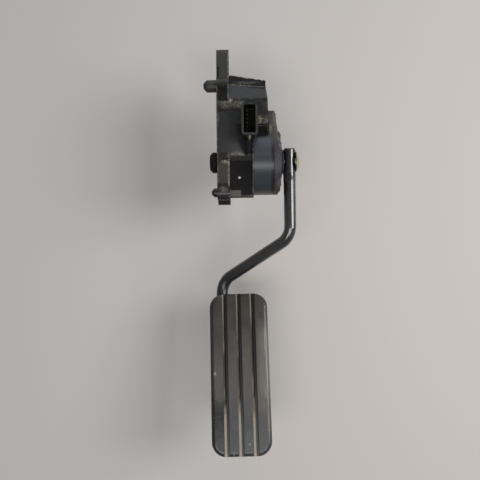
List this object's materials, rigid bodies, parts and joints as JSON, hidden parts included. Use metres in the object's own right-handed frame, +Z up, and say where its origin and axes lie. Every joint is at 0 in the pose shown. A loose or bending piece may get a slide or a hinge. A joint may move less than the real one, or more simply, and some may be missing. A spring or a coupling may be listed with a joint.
{
  "type": "accelerator pedal",
  "caption": "Electronic accelerator pedal: side-flanged sensor housing with a sprung pivot, connector socket, bent rod arm and grooved pad.",
  "frame": {"origin": "midway between the upper and lower fixing bolts, on the mounting face of the flange", "axes": "+X from the mounting face along the pivot towards the arm, +Y away from the driver, +Z up"},
  "size_m": [0.0776, 0.0785, 0.3366],
  "materials": {
    "moulded_black": "moulded, dusty",
    "cover_black": "moulded, dusty",
    "steel": "bare steel",
    "bush_plastic": "natural plastic",
    "rubber": "matt rubber",
    "board_green": "circuit board laminate",
    "contact_brass": "plated contact",
    "washer_plastic": "natural plastic",
    "spring_steel": "spring steel",
    "hub_plastic": "glass-filled plastic",
    "cap_black": "moulded",
    "rod_paint": "black gloss coat on steel",
    "yellow_zinc": "yellow zinc plate on steel",
    "pad_plastic": "matt grooved tread, scuffed"
  },
  "bodies": {
    "housing_body": {"housing": "moulded_black", "bolt_sleeves": "steel", "sensor_cover": "cover_black", "left_bush": "bush_plastic", "shaft_seal": "rubber", "sensor_board": "board_green", "connector_pins": "contact_brass", "side_cover": "cover_black", "cover_screws": "steel", "right_bush": "bush_plastic", "friction_washer": "washer_plastic", "outer_spring": "spring_steel", "inner_spring": "spring_steel", "idle_bumper": "rubber", "full_travel_bumper": "rubber"},
    "pedal_body": {"spring_hub": "hub_plastic", "shaft_cap": "cap_black", "wiper_carrier": "washer_plastic", "wiper_contacts": "contact_brass", "arm_rod": "rod_paint", "pivot_rivet": "yellow_zinc", "rivet_washer": "steel", "pedal_pad": "pad_plastic"}
  },
  "joints": [
    {"name": "pedal_pivot", "type": "hinge", "parent": "housing_body", "child": "pedal_body", "pos_m": [0.03, 0, -0.029], "axis": [1, 0, 0], "range_deg": [0, 16], "stiffness_Nm_per_rad": 8.9, "springref_deg": -17.76, "deforming": ["outer_spring", "inner_spring"]}
  ]
}
